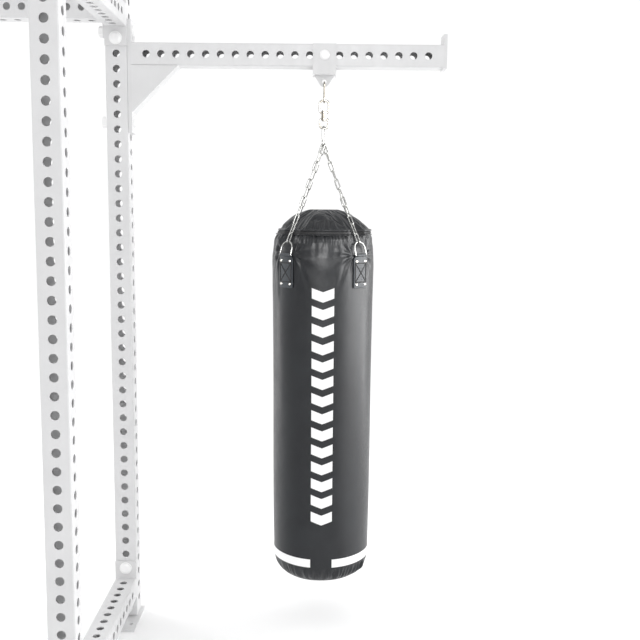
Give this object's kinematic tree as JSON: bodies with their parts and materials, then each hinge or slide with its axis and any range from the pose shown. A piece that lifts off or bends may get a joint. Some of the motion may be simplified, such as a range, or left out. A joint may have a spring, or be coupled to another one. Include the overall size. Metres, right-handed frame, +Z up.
{
  "type": "punching bag on stand",
  "caption": "Heavy punching bag with chains, swivel and hook, hung from a cantilever arm bolted to a free-standing steel rack of drilled square tube.",
  "frame": {"origin": "middle of the whole object's box, on the floor", "axes": "+X along the arm, away from the rack; +Y from the front of the rack to its rear; +Z up"},
  "size_m": [2.3242, 1.0759, 2.289],
  "materials": {
    "rack_paint": "satin pale grey powder coat",
    "plate_paint": "satin pale grey powder coat",
    "cap_plastic": "moulded pale grey plastic",
    "bolt_zinc": "bright zinc plate",
    "chain_zinc": "bright zinc plate",
    "swivel_nickel": "polished nickel plate",
    "rivet_nickel": "polished nickel plate",
    "bag_leather": "smooth black synthetic leather with a soft sheen",
    "strap_leather": "thick black synthetic leather, stitched",
    "zip_tape": "black woven tape with moulded teeth",
    "foam": "closed-cell foam sheet",
    "filling": "packed textile scrap",
    "white_print": "white printed ink"
  },
  "bodies": {
    "stand": {"arm_end_plate": "plate_paint", "arm_gusset": "rack_paint", "arm_mount_plate": "plate_paint", "arm_tube": "rack_paint", "foot_front_left": "rack_paint", "foot_front_right": "rack_paint", "foot_rear_left": "rack_paint", "foot_rear_right": "rack_paint", "front_cross_beam": "rack_paint", "hanger_bolt": "bolt_zinc", "hanger_bracket": "plate_paint", "hanger_nut": "bolt_zinc", "lower_side_rail_left": "rack_paint", "lower_side_rail_right": "rack_paint", "rack_bolts": "bolt_zinc", "rack_nuts": "bolt_zinc", "rack_washers": "bolt_zinc", "rail_flanges": "rack_paint", "rear_cross_beam": "rack_paint", "upper_side_rail_left": "rack_paint", "upper_side_rail_right": "rack_paint", "upright_caps": "cap_plastic", "upright_front_left": "rack_paint", "upright_front_right": "rack_paint", "upright_rear_left": "rack_paint", "upright_rear_right": "rack_paint"},
    "hook": {"top_hook": "swivel_nickel"},
    "swivel_top": {"swivel_upper_eye": "swivel_nickel", "swivel_pin": "swivel_nickel", "swivel_thrust_washer": "swivel_nickel"},
    "swivel_bottom": {"swivel_lower_eye": "swivel_nickel"},
    "gate": {"snap_gate": "chain_zinc"},
    "slider": {"zip_slider": "rivet_nickel"},
    "pull": {"zip_pull": "rivet_nickel"},
    "bag": {"bag_base": "bag_leather", "bag_shell": "bag_leather", "chain_front_left": "chain_zinc", "chain_front_right": "chain_zinc", "chain_rear_left": "chain_zinc", "chain_rear_right": "chain_zinc", "chevron_mark": "white_print", "d_ring_front_left": "chain_zinc", "d_ring_front_right": "chain_zinc", "d_ring_rear_left": "chain_zinc", "d_ring_rear_right": "chain_zinc", "foam_liner": "foam", "snap_gate_pin": "chain_zinc", "snap_hook": "chain_zinc", "strap_tab_front_left": "strap_leather", "strap_tab_front_right": "strap_leather", "strap_tab_rear_left": "strap_leather", "strap_tab_rear_right": "strap_leather", "tab_rivets": "rivet_nickel", "textile_filling": "filling", "top_cover": "bag_leather", "white_stripes": "white_print", "zip_band": "zip_tape"}
  },
  "joints": [
    {"name": "hook_swing", "type": "hinge", "parent": "stand", "child": "hook", "pos_m": [0.74295, 0.36025, 1.936], "axis": [0, -1, 0], "range_deg": [-10, 35]},
    {"name": "swivel_tilt", "type": "hinge", "parent": "hook", "child": "swivel_top", "pos_m": [0.74295, 0.36025, 1.87215], "axis": [1, 0, 0], "range_deg": [-35, 35]},
    {"name": "swivel_spin", "type": "hinge", "parent": "swivel_top", "child": "swivel_bottom", "pos_m": [0.74295, 0.36025, 1.812], "axis": [0, 0, 1], "continuous": true},
    {"name": "bag_tilt", "type": "hinge", "parent": "swivel_bottom", "child": "bag", "pos_m": [0.74295, 0.36025, 1.77625], "axis": [1, 0, 0], "range_deg": [-6, 6]},
    {"name": "gate_open", "type": "hinge", "parent": "bag", "child": "gate", "pos_m": [0.73851, 0.34658, 1.73381], "axis": [-0.9511, 0.309, 0], "range_deg": [0, 24], "stiffness_Nm_per_rad": 0.05, "springref_deg": -22.92},
    {"name": "zip_travel", "type": "hinge", "parent": "bag", "child": "slider", "pos_m": [0.74295, 0.36025, 1.41775], "axis": [0, 0, 1], "range_deg": [-30, 30]},
    {"name": "pull_swing", "type": "hinge", "parent": "slider", "child": "pull", "pos_m": [0.74295, 0.53515, 1.41775], "axis": [1, 0, 0], "range_deg": [-10, 90]}
  ]
}
